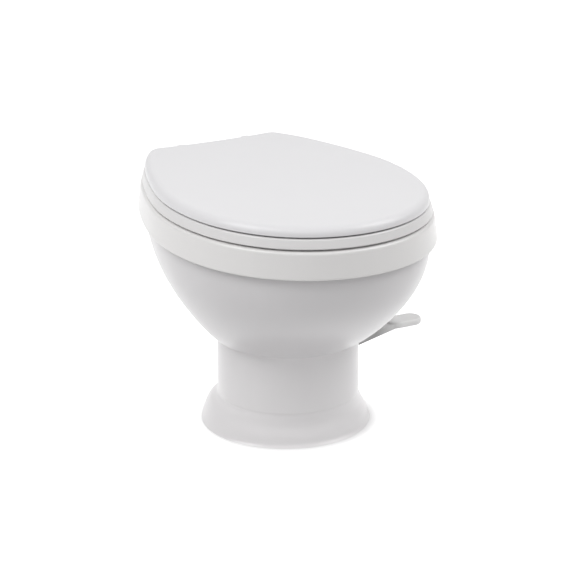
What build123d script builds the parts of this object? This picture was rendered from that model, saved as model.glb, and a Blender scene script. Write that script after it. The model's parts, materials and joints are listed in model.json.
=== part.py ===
from build123d import *
import math
import os

# Low pedestal toilet with a side foot pedal and a ball valve.
# Millimetres, +Z up, front towards -Y, pedal on the +X side.
# The origin is on the floor, at the centre of the waste outlet.

# Plan outline shared by the lid, the seat, the rim and the bowl: tangent arcs from front to back
lid_front_reach = 219.0
front_arc_radius = 167.4
shoulder_arc_radius = 207.4
side_arc_radius = 300.5
flank_arc_radius = 777.8
rear_arc_radius = 255.2
corner_arc_radius = 22.2
arc_end_angles = (50.8, 76.4, 103.1, 111.9, 125.3, 186.0)
shell_arc_end_angles = (50.8, 76.4, 103.1, 111.9, 125.3, 176.0)
back_hold_share = 0.7
arc_radii = (
    front_arc_radius,
    shoulder_arc_radius,
    side_arc_radius,
    flank_arc_radius,
    rear_arc_radius,
    corner_arc_radius,
)

# Heights of the stack
pedestal_height = 132.0
bowl_height = 152.5
band_height = 37.3
band_bottom = pedestal_height + bowl_height
rim_height = band_bottom + band_height
seat_gap = 2.6
seat_thickness = 13.2
lid_gap = 2.4
lid_thickness = 12.4
seat_bottom = rim_height + seat_gap
seat_top = seat_bottom + seat_thickness
lid_bottom = seat_top + lid_gap
lid_top = lid_bottom + lid_thickness

# Growth of the outline below the lid
seat_head_grow = 0.6
seat_foot_grow = 5.2
band_head_grow = 6.6
band_foot_grow = 11.9

# Clearances and the overrun of every cut
overrun = 2.0
running_clearance = 0.06
static_clearance = 0.03
side_clearance = 0.5
seal_clearance = 0.3

# Walls
lid_wall = 3.4
deck_wall = 4.0
band_wall = 4.0
basin_wall = 4.0
shell_wall = 4.0
pedestal_wall = 4.0
housing_wall = 3.0

# Hinge line of seat and lid
hinge_inset = 4.16
hinge_rise = 2.4
hinge_height = seat_top + hinge_rise
hinge_half_spacing = 76.0
knuckle_radius = 6.5
knuckle_width = 11.0
post_width = 13.0
hinge_pin_radius = 3.5

# Waste outlet below the bowl
outlet_bore_radius = 35.0
throat_radius = 32.0
throat_length = 8.0
throat_drop = 8.0
throat_top = pedestal_height - throat_drop
throat_bottom = throat_top - throat_length

# Flush ball in its housing, with the pedal shaft beside it
ball_radius = 46.0
ball_wall = 3.0
ball_cap_angle = 52.0
ball_room = 1.5
chamber_radius = ball_radius + ball_room
chamber_outer_radius = chamber_radius + housing_wall
ball_axis_height = throat_top - ball_radius
ball_gear_teeth = 14
drive_gear_full_teeth = 42
pedal_rise = 7.0
pedal_travel = 33.0
pedal_hub_radius = 10.0
pedal_hub_room = 2.11
shaft_radius = 4.0
cross_pin_radius = 1.2
ball_travel = pedal_travel * drive_gear_full_teeth / ball_gear_teeth
pedal_axis_x = chamber_outer_radius + pedal_hub_radius + pedal_hub_room
pedal_axis_height = ball_axis_height + pedal_rise
gear_distance = math.hypot(pedal_axis_x, pedal_rise)
gear_module = 2 * gear_distance / (ball_gear_teeth + drive_gear_full_teeth)

# Places along the ball shaft, from the housing to the cam under the water valve
ball_boss_reach = 6.0
bush_flange_thickness = 1.5
shaft_side_gap = 0.8
gear_thickness = 5.5
ball_collar_length = 5.2
collar_gap = 1.2
cam_collar_length = 4.8
cam_thickness = 5.0
shaft_end_length = 2.5
ball_boss_end = chamber_outer_radius + ball_boss_reach
gear_start = ball_boss_end + bush_flange_thickness + shaft_side_gap
gear_end = gear_start + gear_thickness
ball_collar_end = gear_end + ball_collar_length
cam_collar_start = ball_collar_end + collar_gap
cam_start = cam_collar_start + cam_collar_length
cam_end = cam_start + cam_thickness
ball_shaft_end = cam_end + shaft_end_length
hose_line_y = (cam_start + cam_end) / 2

# Places along the pedal shaft, counted forwards from the gear
drive_collar_length = 4.5
lug_gap = 2.3
lug_length = 8.0
spring_room = 15.5
pedal_hub_length = 33.0
front_lug_gap = 1.5
front_lug_length = 6.0
arm_width = 26.0
arm_gap = 0.5
drive_collar_start = gear_start - drive_collar_length
back_lug_end = drive_collar_start - lug_gap
back_lug_start = back_lug_end - lug_length
pedal_hub_end = back_lug_start - spring_room
pedal_hub_start = pedal_hub_end - pedal_hub_length
front_lug_end = pedal_hub_start - front_lug_gap
front_lug_start = front_lug_end - front_lug_length
arm_middle = pedal_hub_end - arm_gap - arm_width / 2

# Heights along the water valve, counted up from the cam
cam_base_radius = 10.0
stem_gap = 0.4
stem_tip_radius = 2.0
stem_collar_rise = 0.2
stem_collar_height = 1.5
stem_spring_length = 7.9
inlet_rise = 10.0
stem_tip = ball_axis_height + cam_base_radius + stem_gap
stem_collar_bottom = stem_tip + stem_tip_radius + stem_collar_rise
valve_body_bottom = stem_collar_bottom + stem_collar_height + stem_spring_length
inlet_height = valve_body_bottom + inlet_rise

# Flanges below the bowl
outlet_flange_reach = 7.5
housing_screw_reach = 3.5
deck_hole_gap = 2.0
screw_circle_gap = 20.0
outlet_flange_radius = chamber_outer_radius + outlet_flange_reach
housing_screw_circle = chamber_outer_radius + housing_screw_reach
deck_hole_radius = outlet_flange_radius + deck_hole_gap
screw_circle_radius = deck_hole_radius + screw_circle_gap

# Pedestal, wide enough for the water valve behind the ball, and the foot of the bowl on it
valve_room = 21.7
foot_reach = 20.6
foot_centre = 7.3
foot_height = 47.0
bowl_foot_overhang = 5.3
bowl_foot_centre = -2.5
pedestal_radius = hose_line_y + valve_room
foot_radius = pedestal_radius + foot_reach
bowl_foot_radius = pedestal_radius + bowl_foot_overhang

# Floor bolts
bolt_inset = 10.7
bolt_slot_length = 24.0
bolt_slot_radius = 5.5
bolt_half_spacing = pedestal_radius - bolt_inset

os.makedirs("parts", exist_ok=True)


def save(piece, name):
    """Labels a finished part and writes it under its own name."""
    piece.label = name
    export_step(piece, f"parts/{name}.step")


def outline_sketch(height, front_reach, radii, ends=arc_end_angles):
    """Sketch of a mirrored outline of tangent arcs, which starts at the front middle and turns backwards."""
    with BuildSketch(Plane.XY.offset(height)) as outline:
        with BuildLine():
            x, y, heading = 0.0, -front_reach, 0.0
            for radius, end in zip((*radii, None), (*ends, 180)):
                turned = math.radians(end)
                if radius is None:
                    radius = x / math.sin(heading)
                centre_x = x - radius * math.sin(heading)
                centre_y = y + radius * math.cos(heading)
                halfway = (heading + turned) / 2
                middle = (centre_x + radius * math.sin(halfway), centre_y - radius * math.cos(halfway))
                finish = (centre_x + radius * math.sin(turned), centre_y - radius * math.cos(turned))
                ThreePointArc((x, y), middle, finish)
                x, y, heading = *finish, turned
            mirror(about=Plane.YZ)
        make_face()
    return outline.sketch


def outline_reach(front_reach):
    """Half width of the plan outline, and how far back its rear corners reach."""
    half_width, back = 0.0, -front_reach
    for radius, start, end in zip(arc_radii, (0, *arc_end_angles), (*arc_end_angles[:-1], 180)):
        half_width += radius * (math.sin(math.radians(min(end, 90))) - math.sin(math.radians(min(start, 90))))
        back += radius * (math.cos(math.radians(start)) - math.cos(math.radians(end)))
    return half_width, back


def plan_radii(offset, back_pull=0.0):
    """Radii of the plan outline moved outwards, its back pulled forwards by a shorter flank."""
    flank = arc_radii.index(flank_arc_radius)
    flank_run = math.cos(math.radians(arc_end_angles[flank - 1])) - math.cos(math.radians(arc_end_angles[flank]))
    radii = [radius + offset for radius in arc_radii]
    radii[flank] -= back_pull / flank_run
    return radii


def plan_sketch(height, grow=0.0, inset=0.0):
    """Sketch of the plan outline, grown mostly at the front and sides, then inset all round."""
    radii = plan_radii(grow - inset, back_hold_share * grow)
    return outline_sketch(height, lid_front_reach + grow - inset, radii)


def rounded_slab(bottom, top, radius, foot_grow=0.0, head_grow=0.0, inset=0.0, foot_radius=0.0):
    """Slab of the plan outline that leans from foot to head growth, with rounded edges."""
    with BuildPart() as slab:
        add(plan_sketch(bottom, foot_grow, inset))
        add(plan_sketch(top, head_grow, inset))
        loft(ruled=True)
        fillet(slab.faces().sort_by(Axis.Z)[-1].edges(), radius=radius)
        if foot_radius > 0:
            fillet(slab.faces().sort_by(Axis.Z)[0].edges(), radius=foot_radius)
    return slab.part


# Places that follow the plan outline: its reach, the hinge line and the mouth of the bowl
mouth_side_margin = 59.0
mouth_front_margin = 44.0
mouth_back_reach = 34.0
lid_half_width, lid_back_reach = outline_reach(lid_front_reach)
hinge_back = lid_back_reach - hinge_inset
mouth_half_width = lid_half_width - mouth_side_margin
mouth_front = lid_front_reach - mouth_front_margin
mouth_back = hose_line_y + mouth_back_reach

# Lid: a rounded slab, dished underneath, with two knuckles inside its back edge
lid_edge_radius = 12.0
lid_dish_radius = 8.6
lid_plate_bottom = lid_top - lid_wall
hinge_notch_start = hinge_half_spacing - post_width / 2 - 2 * knuckle_width - 4 * side_clearance
hinge_notch_end = hinge_half_spacing + post_width / 2 + knuckle_radius
hinge_notch_width = hinge_notch_end - hinge_notch_start
seat_knuckle_x = hinge_half_spacing - post_width / 2 - side_clearance - knuckle_width / 2
lid_knuckle_x = seat_knuckle_x - knuckle_width - side_clearance
lid_plate_middle = lid_plate_bottom + lid_wall / 2

with BuildPart() as lid:
    add(rounded_slab(lid_bottom, lid_top, lid_edge_radius))
    dish = rounded_slab(lid_bottom - overrun, lid_plate_bottom, lid_dish_radius, inset=lid_wall)
    add(dish, mode=Mode.SUBTRACT)
    with BuildSketch(Plane.XY.offset(lid_bottom - overrun)):
        for side in (-1, 1):
            with Locations((side * (hinge_notch_start + hinge_notch_end) / 2, hinge_back)):
                Rectangle(hinge_notch_width, 2 * (knuckle_radius + overrun))
    extrude(amount=lid_plate_bottom - lid_bottom + overrun, mode=Mode.SUBTRACT)
    for side in (-1, 1):
        with BuildSketch(Plane.YZ.offset(side * lid_knuckle_x - knuckle_width / 2)):
            with Locations((hinge_back, hinge_height)):
                Circle(knuckle_radius)
            with Locations((hinge_back - knuckle_radius / 2, (hinge_height + lid_plate_middle) / 2)):
                Rectangle(knuckle_radius, lid_plate_middle - hinge_height)
            with Locations((hinge_back, hinge_height)):
                Circle(hinge_pin_radius + running_clearance, mode=Mode.SUBTRACT)
        extrude(amount=knuckle_width)
save(lid.part, "lid")

# Seat: a flat ring with a rounded rim, two arms at the back reach the hinge line
seat_edge_radius = 3.0
seat_foot_radius = 1.5
seat_side_overlap = 8.0
seat_front_overlap = 10.0
seat_back_overlap = 7.0
seat_hole_half_width = mouth_half_width - seat_side_overlap
seat_hole_front = mouth_front - seat_front_overlap
seat_hole_back = mouth_back - seat_back_overlap
seat_hole_radius = 4.0
seat_back_gap = 20.5
seat_back = hinge_back - seat_back_gap
seat_arm_overlap = 8.0
seat_arm_rise = 4.0
seat_hole_centre = (seat_hole_back - seat_hole_front) / 2
seat_hole_half_length = (seat_hole_back + seat_hole_front) / 2
seat_arm_length = seat_back_gap + seat_arm_overlap
seat_arm_bottom = seat_bottom + seat_arm_rise
seat_arm_height = hinge_height - seat_arm_bottom

with BuildPart() as seat_ring:
    seat_grows = (seat_foot_grow, seat_head_grow)
    add(rounded_slab(seat_bottom, seat_top, seat_edge_radius, *seat_grows, foot_radius=seat_foot_radius))
    with BuildSketch(Plane((0, seat_hole_centre, seat_bottom))):
        Ellipse(seat_hole_half_width, seat_hole_half_length)
    extrude(amount=seat_thickness, mode=Mode.SUBTRACT)
    fillet(seat_ring.edges().filter_by(GeomType.ELLIPSE), radius=seat_hole_radius)
    with BuildSketch(Plane.XY.offset(seat_bottom)):
        with Locations((0, seat_back + seat_back_gap)):
            Rectangle(2 * lid_front_reach, 2 * seat_back_gap)
    extrude(amount=seat_thickness, mode=Mode.SUBTRACT)
    for side in (-1, 1):
        with BuildSketch(Plane.YZ.offset(side * seat_knuckle_x - knuckle_width / 2)):
            with Locations((hinge_back - seat_arm_length / 2, seat_arm_bottom + seat_arm_height / 2)):
                Rectangle(seat_arm_length, seat_arm_height)
            with Locations((hinge_back, hinge_height)):
                Circle(knuckle_radius)
                Circle(hinge_pin_radius + running_clearance, mode=Mode.SUBTRACT)
        extrude(amount=knuckle_width)
save(seat_ring.part, "seat_ring")

# Rubber bumpers under the seat and under the lid
bumper_radius = 7.0
seat_bumper_shares = ((0.39, -0.8), (0.838, 0.18))
lid_bumper_shares = ((0.39, -0.767), (0.726, 0.274))
lid_bumper_foot_radius = 5.0


def mirrored_places(place_shares):
    """Places on both sides, from shares of the lid's half width and of its front reach."""
    places = []
    for side in (-1, 1):
        for width_share, reach_share in place_shares:
            places.append((side * width_share * lid_half_width, reach_share * lid_front_reach))
    return places


with BuildPart() as seat_bumpers:
    with BuildSketch(Plane.XY.offset(rim_height)):
        with Locations(*mirrored_places(seat_bumper_shares)):
            Circle(bumper_radius)
    extrude(amount=seat_gap)
save(seat_bumpers.part, "seat_bumpers")

with BuildPart() as lid_bumpers:
    for place_x, place_y in mirrored_places(lid_bumper_shares):
        with Locations((place_x, place_y, seat_top)):
            Cone(
                lid_bumper_foot_radius,
                bumper_radius,
                lid_plate_bottom - seat_top,
                align=(Align.CENTER, Align.CENTER, Align.MIN),
            )
save(lid_bumpers.part, "lid_bumpers")

# Hinge posts on the rear deck, with their pins, bolts and washers
post_reach = 19.0
post_stem_depth = 11.0
post_foot_depth = 16.0
post_foot_thickness = 3.2
post_top_rise = 4.0
post_head_height = 11.0
hinge_bolt_radius = 3.0
hinge_bolt_reach = 12.0
hinge_bolt_head_radius = 5.8
hinge_bolt_head_height = 4.0
washer_radius = 9.0
washer_thickness = 1.2
pin_head_radius = 5.5
pin_head_thickness = 2.5
pin_head_edge_radius = 0.8
hexagon_sides = 6
post_front = hinge_back - post_reach
post_stem_height = hinge_height + post_top_rise - rim_height
post_head_depth = hinge_back - post_front - post_stem_depth / 2
post_head_middle = hinge_height + post_top_rise - post_head_height / 2
hinge_bolt_y = post_front + post_stem_depth / 2
deck_bottom = rim_height - deck_wall
washer_bottom = deck_bottom - washer_thickness
hinge_bolt_places = [(-hinge_half_spacing, hinge_bolt_y), (hinge_half_spacing, hinge_bolt_y)]

with BuildPart() as hinge_posts:
    for side in (-1, 1):
        with BuildSketch(Plane.YZ.offset(side * hinge_half_spacing - post_width / 2)):
            with Locations((post_front + post_stem_depth / 2, rim_height + post_stem_height / 2)):
                Rectangle(post_stem_depth, post_stem_height)
            with Locations((post_front + post_foot_depth / 2, rim_height + post_foot_thickness / 2)):
                Rectangle(post_foot_depth, post_foot_thickness)
            with Locations((hinge_back - post_head_depth / 2, post_head_middle)):
                Rectangle(post_head_depth, post_head_height)
            with Locations((hinge_back, hinge_height)):
                Circle(knuckle_radius)
                Circle(hinge_pin_radius + static_clearance, mode=Mode.SUBTRACT)
        extrude(amount=post_width)
    with BuildSketch(Plane.XY.offset(rim_height)):
        with Locations(*hinge_bolt_places):
            Circle(hinge_bolt_radius + static_clearance)
    extrude(amount=hinge_bolt_reach, mode=Mode.SUBTRACT)
save(hinge_posts.part, "hinge_posts")

with BuildPart() as hinge_pins:
    pin_start = lid_knuckle_x - knuckle_width / 2
    pin_end = hinge_half_spacing + post_width / 2 + side_clearance
    for side in (-1, 1):
        with BuildSketch(Plane.YZ.offset(side * pin_start)):
            with Locations((hinge_back, hinge_height)):
                Circle(hinge_pin_radius)
        extrude(amount=side * (pin_end - pin_start))
        with BuildSketch(Plane.YZ.offset(side * pin_end)):
            with Locations((hinge_back, hinge_height)):
                Circle(pin_head_radius)
        extrude(amount=side * pin_head_thickness)
    fillet(hinge_pins.edges().group_by(Axis.X)[-1], radius=pin_head_edge_radius)
    fillet(hinge_pins.edges().group_by(Axis.X)[0], radius=pin_head_edge_radius)
save(hinge_pins.part, "hinge_pins")

with BuildPart() as hinge_bolts:
    with BuildSketch(Plane.XY.offset(washer_bottom)):
        with Locations(*hinge_bolt_places):
            RegularPolygon(hinge_bolt_head_radius, hexagon_sides)
    extrude(amount=-hinge_bolt_head_height)
    with BuildSketch(Plane.XY.offset(washer_bottom)):
        with Locations(*hinge_bolt_places):
            Circle(hinge_bolt_radius)
    extrude(amount=rim_height - washer_bottom + hinge_bolt_reach - side_clearance)
save(hinge_bolts.part, "hinge_bolts")

with BuildPart() as hinge_washers:
    with BuildSketch(Plane.XY.offset(washer_bottom)):
        with Locations(*hinge_bolt_places):
            Circle(washer_radius)
            Circle(hinge_bolt_radius + static_clearance, mode=Mode.SUBTRACT)
    extrude(amount=washer_thickness)
save(hinge_washers.part, "hinge_washers")

# Rim deck with its outer band, the basin that hangs from it, and the basin foot with two flanges
band_edge_radius = 5.0
band_foot_radius = 2.5
mouth_edge_radius = 3.0
basin_lip_width = 10.0
basin_lip_thickness = 3.0
basin_foot_height = 66.0
support_flange_height = 4.0
support_flange_margin = 1.0
screw_boss_radius = 7.0
screw_boss_height = 14.0
bowl_screw_radius = 2.5
outlet_flange_height = 5.0
housing_screw_radius = 2.0
nozzle_drop = 49.8
nozzle_tube_radius = 7.0
nozzle_boss_radius = 14.0
nozzle_boss_sink = 2.5
nozzle_boss_proud = 3.0
hose_hole_radius = 11.0
hinge_hole_clearance = 0.3
basin_depth_shares = (0, 0.28, 0.52, 0.72, 0.88, 1)
basin_size_shares = (1, 0.93, 0.76, 0.49, 0.18, 0)
mouth_centre = (mouth_back - mouth_front) / 2
mouth_half_length = (mouth_back + mouth_front) / 2
basin_depth = rim_height - throat_top
basin_joint = throat_top + basin_foot_height
shell_flange_top = pedestal_height + shell_wall
support_flange_radius = screw_circle_radius + screw_boss_radius + support_flange_margin
nozzle_height = rim_height - nozzle_drop


def corner_places(circle_radius):
    """Four places at the corners of a square on a circle."""
    reach = circle_radius / math.sqrt(2)
    return [(x, y) for x in (-reach, reach) for y in (-reach, reach)]


screw_places = corner_places(screw_circle_radius)
housing_screw_places = corner_places(housing_screw_circle)


def basin_form(wall=0.0):
    """Bowl shape from the mouth to the throat, grown by a wall."""
    with BuildPart() as form:
        for depth_share, size_share in zip(basin_depth_shares, basin_size_shares):
            level = rim_height - depth_share * basin_depth
            with BuildSketch(Plane((0, size_share * mouth_centre, level))):
                Ellipse(
                    throat_radius + wall + size_share * (mouth_half_width - throat_radius),
                    throat_radius + wall + size_share * (mouth_half_length - throat_radius),
                )
        loft()
    return form.part


def basin_back(height):
    """How far back the inside of the bowl reaches at a height, between its drawn levels."""
    depth_share = (rim_height - height) / basin_depth
    low = next(i for i, share in enumerate(basin_depth_shares) if share >= depth_share)
    span_share = basin_depth_shares[low] - basin_depth_shares[low - 1]
    rest_share = (basin_depth_shares[low] - depth_share) / span_share
    size_share = basin_size_shares[low] + rest_share * (basin_size_shares[low - 1] - basin_size_shares[low])
    return throat_radius + size_share * (mouth_half_length - throat_radius + mouth_centre)


basin_inside = basin_form()
nozzle_boss_start = basin_back(nozzle_height) - nozzle_boss_sink
nozzle_boss_end = basin_back(nozzle_height) + basin_wall + nozzle_boss_proud

with BuildPart() as rim_deck:
    band_grows = (band_foot_grow, band_head_grow)
    add(rounded_slab(band_bottom, rim_height, band_edge_radius, *band_grows, foot_radius=band_foot_radius))
    add(plan_sketch(band_bottom - overrun, band_foot_grow, band_wall))
    add(plan_sketch(deck_bottom, band_head_grow, band_wall))
    loft(ruled=True, mode=Mode.SUBTRACT)
    add(basin_inside, mode=Mode.SUBTRACT)
    with BuildSketch(Plane.XY.offset(deck_bottom)):
        with Locations(*hinge_bolt_places):
            Circle(hinge_bolt_radius + hinge_hole_clearance)
    extrude(amount=deck_wall, mode=Mode.SUBTRACT)
    deck_top = rim_deck.faces().filter_by(Plane.XY).sort_by(Axis.Z)[-1]
    mouth = deck_top.inner_wires().sort_by(SortBy.LENGTH)[-1]
    fillet(mouth.edges(), radius=mouth_edge_radius)
save(rim_deck.part, "rim_deck")

with BuildPart() as basin_whole:
    add(basin_form(basin_wall))
    with BuildSketch(Plane((0, mouth_centre, deck_bottom - basin_lip_thickness))):
        Ellipse(mouth_half_width + basin_lip_width, mouth_half_length + basin_lip_width)
    extrude(amount=basin_lip_thickness)
    split(bisect_by=Plane.XY.offset(deck_bottom), keep=Keep.BOTTOM)
    with BuildSketch(Plane.XY.offset(throat_bottom)):
        Circle(throat_radius + basin_wall)
    extrude(amount=throat_top - throat_bottom)
    with BuildSketch(Plane.XY.offset(throat_bottom)):
        Circle(outlet_flange_radius)
    extrude(amount=outlet_flange_height)
    with BuildSketch(Plane.XY.offset(shell_flange_top)):
        Circle(support_flange_radius)
    extrude(amount=support_flange_height)
    with BuildSketch(Plane.XY.offset(shell_flange_top)):
        with Locations(*screw_places):
            Circle(screw_boss_radius)
    extrude(amount=screw_boss_height)
    with BuildSketch(Plane.XZ.offset(-nozzle_boss_end)):
        with Locations((0, nozzle_height)):
            Circle(nozzle_boss_radius)
    extrude(amount=nozzle_boss_end - nozzle_boss_start)
    add(basin_inside, mode=Mode.SUBTRACT)
    with BuildSketch(Plane.XY.offset(throat_bottom)):
        Circle(throat_radius)
    extrude(amount=throat_top - throat_bottom, mode=Mode.SUBTRACT)
    with BuildSketch(Plane.XZ.offset(-nozzle_boss_end)):
        with Locations((0, nozzle_height)):
            Circle(nozzle_tube_radius + static_clearance)
    extrude(amount=nozzle_boss_end - nozzle_boss_start + 2 * basin_wall, mode=Mode.SUBTRACT)
    with BuildSketch(Plane.XY.offset(shell_flange_top)):
        with Locations((0, hose_line_y)):
            Circle(hose_hole_radius)
    extrude(amount=support_flange_height, mode=Mode.SUBTRACT)
    with BuildSketch(Plane.XY.offset(shell_flange_top)):
        with Locations(*screw_places):
            Circle(bowl_screw_radius + static_clearance)
    extrude(amount=screw_boss_height - basin_wall, mode=Mode.SUBTRACT)
    with BuildSketch(Plane.XY.offset(throat_bottom)):
        with Locations(*housing_screw_places):
            Circle(housing_screw_radius + static_clearance)
    extrude(amount=outlet_flange_height, mode=Mode.SUBTRACT)

with BuildPart() as basin:
    add(basin_whole.part)
    split(bisect_by=Plane.XY.offset(basin_joint), keep=Keep.TOP)
save(basin.part, "basin")

with BuildPart() as basin_foot:
    add(basin_whole.part)
    split(bisect_by=Plane.XY.offset(basin_joint), keep=Keep.BOTTOM)
save(basin_foot.part, "basin_foot")

# Bowl shell: outer skin from the pedestal joint to the underside of the deck
shell_height_shares = (0, 0.12, 0.3, 0.5, 0.7, 0.87, 1)
shell_front_shares = (0.01, 0.25, 0.53, 0.775, 0.94, 1.01, 1.01)
shell_back_shares = (0.01, 0.17, 0.44, 0.7, 0.89, 0.99, 1)
shell_back_pull = 11.0
shell_lap = 19.5
shell_foot_radius = 2.0
window_half_width = 48.0
window_bottom_share = 0.393
window_top_share = 0.918
window_corner_radius = 12.0
shell_top = band_bottom + shell_lap
window_bottom = pedestal_height + window_bottom_share * bowl_height
window_top = pedestal_height + window_top_share * bowl_height


def shell_form(inset, first_share):
    """Skin of the bowl from a height share to the deck, moved inwards by a wall."""
    foot_front = bowl_foot_radius - bowl_foot_centre
    plan = plan_radii(0.0, shell_back_pull)
    with BuildPart() as form:
        levels = zip(shell_height_shares, shell_front_shares, shell_back_shares)
        for height_share, front_share, back_share in levels:
            level = pedestal_height + max(height_share, first_share) * bowl_height
            if height_share < first_share:
                rise_share = first_share / shell_height_shares[1]
                front_share += rise_share * (shell_front_shares[1] - front_share)
                back_share += rise_share * (shell_back_shares[1] - back_share)
            flank = arc_radii.index(flank_arc_radius)
            shares = [front_share] * flank + [back_share] * (len(plan) - flank)
            grows = [share * (far - bowl_foot_radius) for share, far in zip(shares, plan)]
            radii = [bowl_foot_radius - inset + grow for grow in grows]
            reach = foot_front - inset + front_share * (lid_front_reach - foot_front)
            add(outline_sketch(level, reach, radii, shell_arc_end_angles))
        loft()
        add(outline_sketch(band_bottom, reach, radii, shell_arc_end_angles))
        extrude(amount=shell_top - band_bottom)
    return form.part


with BuildPart() as bowl_shell:
    add(shell_form(0.0, 0.0))
    fillet(bowl_shell.faces().sort_by(Axis.Z)[0].edges(), radius=shell_foot_radius)
    add(shell_form(shell_wall, shell_wall / bowl_height), mode=Mode.SUBTRACT)
    with BuildSketch(Plane.XY.offset(pedestal_height)):
        Circle(deck_hole_radius)
        with Locations((0, hose_line_y)):
            Circle(hose_hole_radius)
        with Locations(*screw_places):
            Circle(bowl_screw_radius + hinge_hole_clearance)
    extrude(amount=shell_wall, mode=Mode.SUBTRACT)
    with BuildSketch(Plane.XZ.offset(-lid_back_reach)):
        with Locations((0, (window_bottom + window_top) / 2)):
            RectangleRounded(2 * window_half_width, window_top - window_bottom, window_corner_radius)
    extrude(amount=lid_back_reach, mode=Mode.SUBTRACT)
save(bowl_shell.part, "bowl_shell")


def rod(radius, start, end, x=0.0, z=0.0, hole=0.0):
    """Round bar along Y between two places, with an optional hole."""
    with BuildPart() as bar:
        with BuildSketch(Plane.XZ.offset(-start)):
            with Locations((x, z)):
                Circle(radius)
                if hole > 0:
                    Circle(hole, mode=Mode.SUBTRACT)
        extrude(amount=start - end)
    return bar.part


def post(radius, bottom, top, places=((0, 0),), hole=0.0):
    """Upright round bars at the given places, with an optional hole."""
    with BuildPart() as bars:
        with BuildSketch(Plane.XY.offset(bottom)):
            with Locations(*places):
                Circle(radius)
                if hole > 0:
                    Circle(hole, mode=Mode.SUBTRACT)
        extrude(amount=top - bottom)
    return bars.part


# Pedestal: round column on a flared foot, with a base plate, a top plate and its openings
foot_height_shares = (0, 0.234, 0.426, 0.638, 0.809, 0.872, 1)
foot_grow_shares = (1, 0.816, 0.646, 0.413, 0.136, 0.024, 0)
foot_centre_shares = (1, 1.37, 1.438, 1.356, 0.548, 0.219, 0)
base_bottom = 6.0
base_thickness = 5.0
base_hole_gap = 1.0
valve_screw_radius = 2.0
valve_screw_spacing = 18.0
pedal_slot_gap = 3.0
pedal_slot_drop = 26.0
pedal_slot_rise = 15.0
pedal_slot_corner = 4.0
inlet_thread_radius = 10.5
access_rise = 15.0
access_radius = 14.0
access_angle = 50.0
access_height = foot_height + access_rise
pedal_slot_width = arm_width + 2 * pedal_slot_gap
pedal_slot_height = pedal_slot_rise + pedal_slot_drop
pedal_slot_middle = pedal_axis_height + (pedal_slot_rise - pedal_slot_drop) / 2
base_hole_radius = outlet_bore_radius + housing_wall + base_hole_gap
base_top = base_bottom + base_thickness
top_plate_bottom = pedestal_height - pedestal_wall
hose_line = [(0, hose_line_y)]
valve_screw_places = [(-valve_screw_spacing, hose_line_y), (valve_screw_spacing, hose_line_y)]
access_planes = []
for side in (-1, 1):
    access_turn = math.radians(access_angle)
    outward = (side * math.cos(access_turn), math.sin(access_turn), 0)
    across = (-outward[1], outward[0], 0)
    access_planes.append(Plane(origin=(0, 0, access_height), x_dir=across, z_dir=outward))


def pedestal_form(inset, top):
    """Flared foot and column, moved inwards by a wall."""
    with BuildPart() as form:
        levels = zip(foot_height_shares, foot_grow_shares, foot_centre_shares)
        for height_share, grow_share, centre_share in levels:
            with BuildSketch(Plane((0, centre_share * foot_centre, height_share * foot_height))):
                Circle(pedestal_radius + grow_share * (foot_radius - pedestal_radius) - inset)
        loft()
        add(post(pedestal_radius - inset, foot_height, top))
    return form.part


with BuildPart() as pedestal_hollow:
    add(pedestal_form(pedestal_wall, top_plate_bottom))
    add(post(foot_radius, base_bottom, base_top, [(0, foot_centre)]), mode=Mode.SUBTRACT)

with BuildPart() as pedestal:
    add(pedestal_form(0.0, pedestal_height))
    add(pedestal_hollow.part, mode=Mode.SUBTRACT)
    add(post(base_hole_radius, base_bottom, base_top), mode=Mode.SUBTRACT)
    add(post(deck_hole_radius, top_plate_bottom, pedestal_height), mode=Mode.SUBTRACT)
    add(post(hose_hole_radius, top_plate_bottom, pedestal_height, hose_line), mode=Mode.SUBTRACT)
    bowl_screw_hole = bowl_screw_radius + hinge_hole_clearance
    add(post(bowl_screw_hole, top_plate_bottom, pedestal_height, screw_places), mode=Mode.SUBTRACT)
    valve_screw_hole = valve_screw_radius + static_clearance
    add(post(valve_screw_hole, top_plate_bottom, pedestal_height, valve_screw_places), mode=Mode.SUBTRACT)
    with BuildSketch(Plane.XY.offset(base_bottom)):
        with Locations((-bolt_half_spacing, 0), (bolt_half_spacing, 0)):
            SlotOverall(bolt_slot_length, 2 * bolt_slot_radius)
    extrude(amount=base_thickness, mode=Mode.SUBTRACT)
    with BuildSketch(Plane.YZ.offset(pedal_axis_x)):
        with Locations((arm_middle, pedal_slot_middle)):
            RectangleRounded(pedal_slot_width, pedal_slot_height, pedal_slot_corner)
    extrude(amount=foot_radius - pedal_axis_x, mode=Mode.SUBTRACT)
    inlet_hole = inlet_thread_radius + hinge_hole_clearance
    add(rod(inlet_hole, hose_line_y, pedestal_radius + overrun, z=inlet_height), mode=Mode.SUBTRACT)
    for access_plane in access_planes:
        with BuildSketch(access_plane):
            Circle(access_radius)
        extrude(amount=foot_radius, mode=Mode.SUBTRACT)
save(pedestal.part, "pedestal")

# Round covers that close the two openings to the floor bolts
cover_radius = 17.0
cover_gap = 0.3
cover_thickness = 2.5
cover_plug_depth = 7.7
cover_plug_start = pedestal_radius - cover_plug_depth
cover_face_radius = pedestal_radius + cover_gap + cover_thickness

with BuildPart() as bolt_covers:
    for access_plane in access_planes:
        with BuildSketch(access_plane):
            Circle(cover_radius)
        extrude(amount=foot_radius)
    cover_bottom = access_height - cover_radius
    cover_top = access_height + cover_radius
    add(post(cover_face_radius, cover_bottom, cover_top), mode=Mode.INTERSECT)
    add(post(pedestal_radius + cover_gap, cover_bottom, cover_top), mode=Mode.SUBTRACT)
    for access_plane in access_planes:
        with BuildSketch(access_plane.offset(cover_plug_start)):
            Circle(access_radius - cover_gap)
        extrude(amount=cover_face_radius - cover_thickness / 2 - cover_plug_start)
save(bolt_covers.part, "bolt_covers")

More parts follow.
